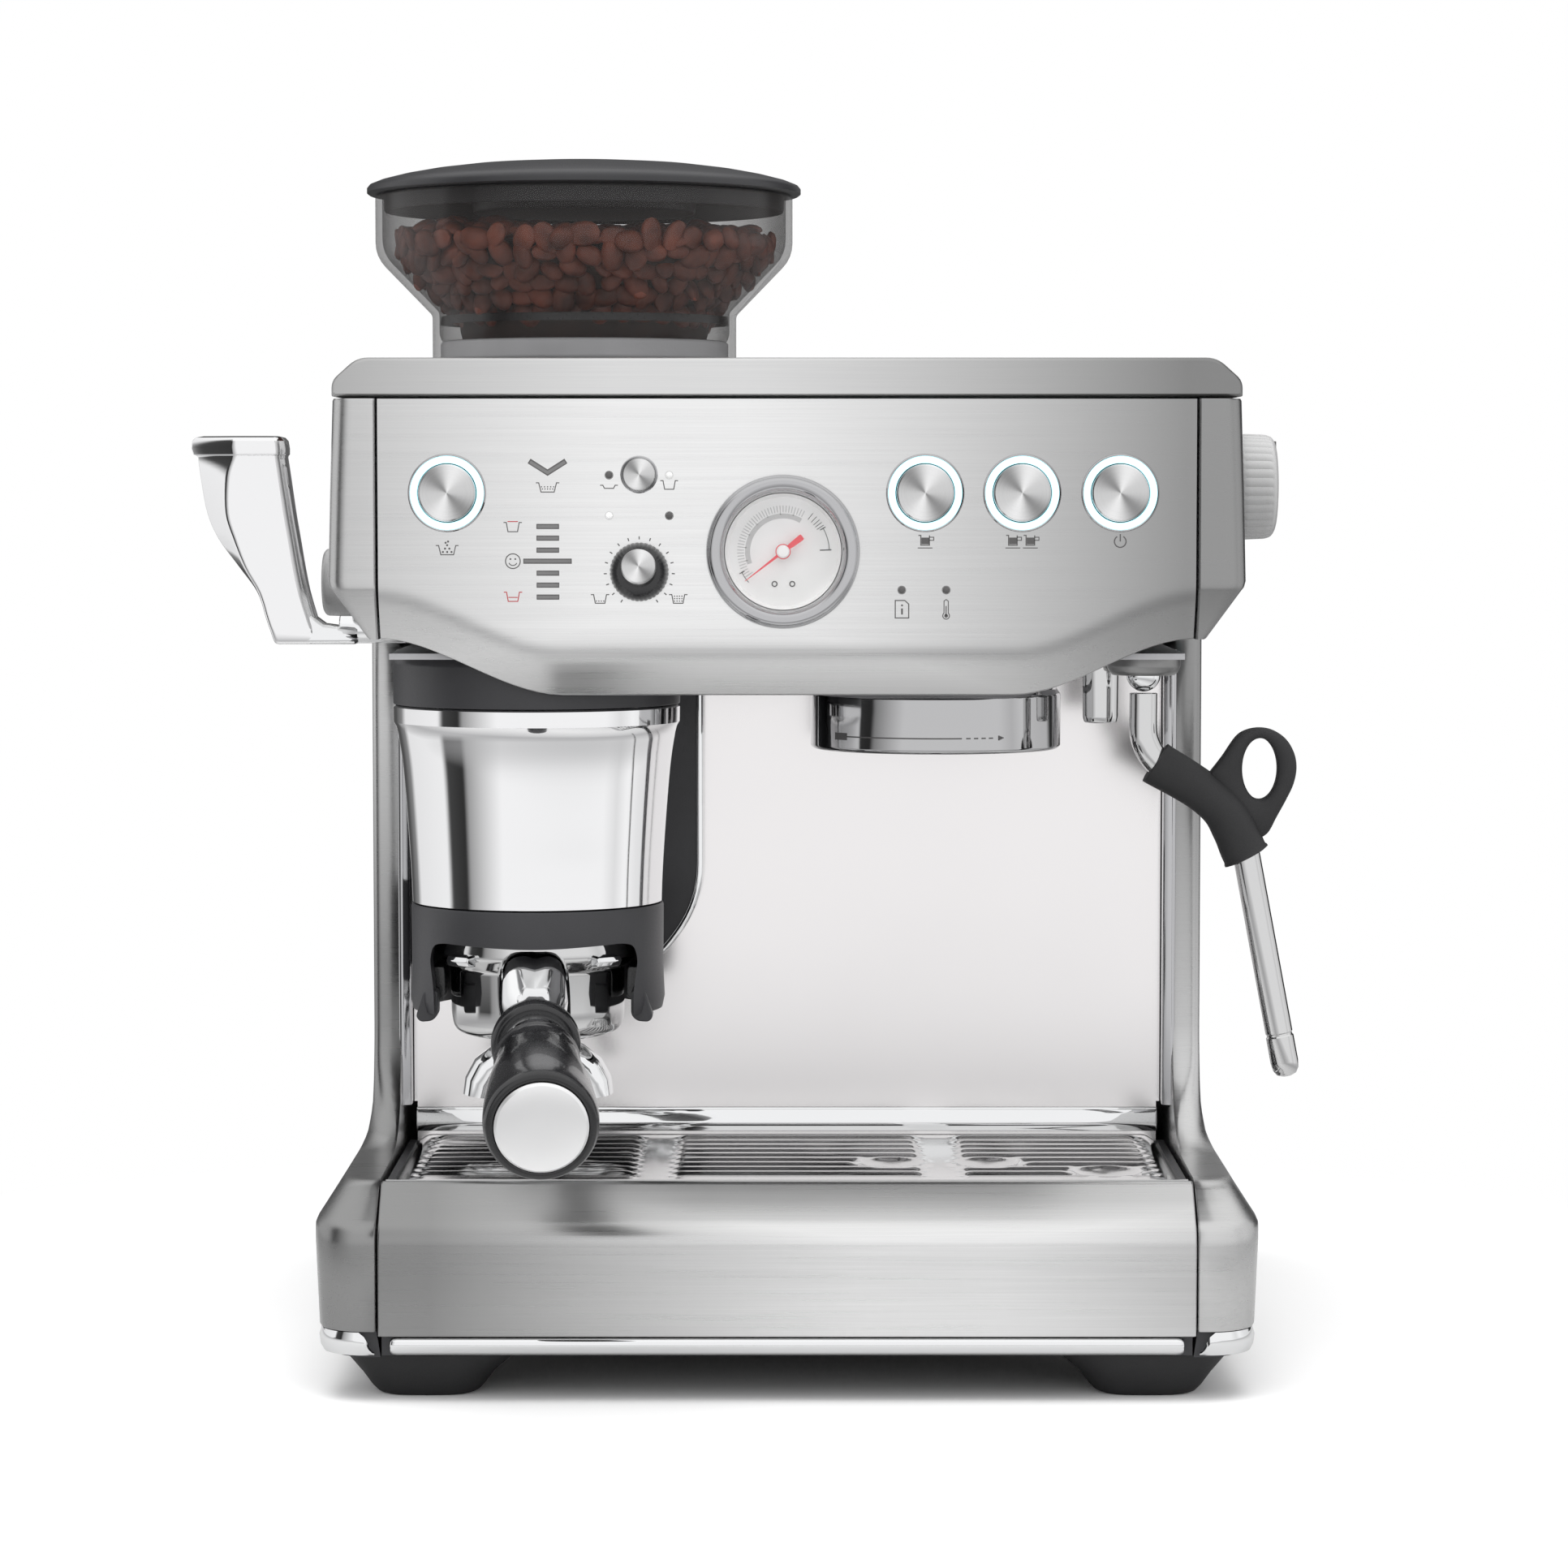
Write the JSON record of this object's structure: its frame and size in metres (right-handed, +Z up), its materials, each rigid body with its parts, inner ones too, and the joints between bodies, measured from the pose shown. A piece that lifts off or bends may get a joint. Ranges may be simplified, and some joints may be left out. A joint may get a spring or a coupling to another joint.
{
  "type": "espresso machine",
  "caption": "Steel espresso machine with a bean hopper and grinder, a side lever that tamps, a portafilter, a pressure gauge and a steam wand.",
  "frame": {"origin": "centre of the overall box, at the height of the feet's soles", "axes": "+Z up, -Y towards the user (the front with the controls), +X to the user's right"},
  "size_m": [0.3768, 0.4034, 0.416],
  "materials": {
    "brushed_steel": "brushed along the width",
    "satin_steel": "satin",
    "polished_steel": "polished",
    "chrome": "bright chrome",
    "charcoal_plastic": "matte",
    "black_plastic": "satin gloss",
    "rubber": "matte",
    "smoky_plastic": "clear, smoke tinted",
    "glass": "clear",
    "dial_white": "matte",
    "needle_red": "satin",
    "light_guide": "lit from behind",
    "satin_grey": "satin",
    "coffee": "satin, roasted beans",
    "cast_metal": "cast"
  },
  "bodies": {
    "case": {"base_pan": "charcoal_plastic", "foot_front_left": "rubber", "foot_front_right": "rubber", "foot_rear_left": "rubber", "foot_rear_right": "rubber", "gauge_bezel": "polished_steel", "gauge_face": "dial_white", "gauge_glass": "glass", "grinder_gearbox": "charcoal_plastic", "grinder_motor": "cast_metal", "group_gasket": "rubber", "group_housing": "chrome", "head_cheek_left": "brushed_steel", "head_cheek_right": "brushed_steel", "head_front_panel": "brushed_steel", "hot_water_spout": "chrome", "inner_frame": "cast_metal", "light_guide": "light_guide", "lower_burr": "cast_metal", "portafilter_cradle": "charcoal_plastic", "pump": "black_plastic", "shower_screen": "polished_steel", "side_panel_left": "brushed_steel", "side_panel_right": "brushed_steel", "splash_back": "polished_steel", "steam_dial_collar": "charcoal_plastic", "tamp_collar": "charcoal_plastic", "tamp_housing": "chrome", "thermocoil": "cast_metal", "top_cover": "satin_steel", "upper_burr": "cast_metal", "wand_collar": "black_plastic"},
    "tank": {"water_tank": "smoky_plastic", "tank_lid": "charcoal_plastic"},
    "tray": {"drip_tray": "charcoal_plastic", "drip_tray_front": "brushed_steel"},
    "grate": {"drip_tray_grate": "chrome"},
    "bean_hopper": {"hopper": "smoky_plastic", "coffee_beans": "coffee"},
    "bean_lid": {"hopper_lid": "charcoal_plastic"},
    "grind_wheel": {"grind_dial": "satin_grey"},
    "wand_swivel": {"wand_ball": "chrome"},
    "wand": {"wand_upper_tube": "chrome", "wand_grip": "rubber", "wand_lower_tube": "chrome"},
    "steam_knob": {"steam_dial": "satin_grey"},
    "lever": {"tamp_lever": "chrome"},
    "tamping_disc": {"tamper": "polished_steel"},
    "portafilter": {"portafilter_body": "chrome", "filter_basket": "polished_steel", "portafilter_spout": "chrome", "portafilter_handle": "black_plastic", "handle_cap": "satin_grey"},
    "needle": {"gauge_needle": "needle_red"},
    "dose_knob": {"dose_dial": "charcoal_plastic"},
    "press_dose": {"button_dose": "polished_steel"},
    "press_one_cup": {"button_one_cup": "polished_steel"},
    "press_two_cup": {"button_two_cup": "polished_steel"},
    "press_power": {"button_power": "polished_steel"},
    "press_filter": {"button_filter": "polished_steel"}
  },
  "joints": [
    {"name": "tray_slide", "type": "slide", "parent": "case", "child": "tray", "axis": [0, -1, 0], "range_m": [0, 0.15]},
    {"name": "grate_lift", "type": "slide", "parent": "tray", "child": "grate", "axis": [0, 0, 1], "range_m": [0, 0.01]},
    {"name": "tank_lift", "type": "slide", "parent": "case", "child": "tank", "axis": [0, 0, 1], "range_m": [0, 0.28]},
    {"name": "hopper_lift", "type": "slide", "parent": "case", "child": "bean_hopper", "axis": [0, 0, 1], "range_m": [0, 0.06]},
    {"name": "lid_lift", "type": "slide", "parent": "bean_hopper", "child": "bean_lid", "axis": [0, 0, 1], "range_m": [0, 0.06]},
    {"name": "grind_turn", "type": "hinge", "parent": "case", "child": "grind_wheel", "pos_m": [-0.1143, -0.0132, 0.309], "axis": [0, 0, 1], "range_deg": [-60, 60]},
    {"name": "wand_turn", "type": "hinge", "parent": "case", "child": "wand_swivel", "pos_m": [0.1349, -0.0682, 0.239], "axis": [0, 0, 1], "range_deg": [-90, 45]},
    {"name": "wand_tilt", "type": "hinge", "parent": "wand_swivel", "child": "wand", "pos_m": [0.1349, -0.0682, 0.239], "axis": [0, 1, 0], "range_deg": [-25, 12]},
    {"name": "steam_turn", "type": "hinge", "parent": "case", "child": "steam_knob", "pos_m": [0.1684, -0.0432, 0.302], "axis": [1, 0, 0], "range_deg": [0, 90]},
    {"name": "lever_turn", "type": "hinge", "parent": "case", "child": "lever", "pos_m": [-0.0701, -0.0362, 0.2534], "axis": [1, 0, 0], "range_deg": [0, 75], "stiffness_Nm_per_rad": 0.35, "springref_deg": -57.3},
    {"name": "tamper_slide", "type": "slide", "parent": "case", "child": "tamping_disc", "axis": [0, 0, -1], "range_m": [0, 0.0173]},
    {"name": "portafilter_slide", "type": "slide", "parent": "case", "child": "portafilter", "axis": [0, -1, 0], "range_m": [0, 0.12]},
    {"name": "needle_turn", "type": "hinge", "parent": "case", "child": "needle", "pos_m": [0.0136, -0.1112, 0.2809], "axis": [0, 1, 0], "range_deg": [0, 240], "stiffness_Nm_per_rad": 0.0005},
    {"name": "dose_turn", "type": "hinge", "parent": "case", "child": "dose_knob", "pos_m": [-0.0333, -0.1132, 0.2743], "axis": [0, -1, 0], "range_deg": [-135, 135]},
    {"name": "push_dose", "type": "slide", "parent": "case", "child": "press_dose", "axis": [0, 1, 0], "range_m": [0, 0.0015], "stiffness_N_per_m": 300, "springref_m": -0.0005},
    {"name": "push_one_cup", "type": "slide", "parent": "case", "child": "press_one_cup", "axis": [0, 1, 0], "range_m": [0, 0.0015], "stiffness_N_per_m": 300, "springref_m": -0.0005},
    {"name": "push_two_cup", "type": "slide", "parent": "case", "child": "press_two_cup", "axis": [0, 1, 0], "range_m": [0, 0.0015], "stiffness_N_per_m": 300, "springref_m": -0.0005},
    {"name": "push_power", "type": "slide", "parent": "case", "child": "press_power", "axis": [0, 1, 0], "range_m": [0, 0.0015], "stiffness_N_per_m": 300, "springref_m": -0.0005},
    {"name": "push_filter", "type": "slide", "parent": "case", "child": "press_filter", "axis": [0, 1, 0], "range_m": [0, 0.0015], "stiffness_N_per_m": 300, "springref_m": -0.0005}
  ],
  "couplings": [
    {"joint": "tamper_slide", "follows": "lever_turn", "m_per_rad": 0.0132}
  ]
}
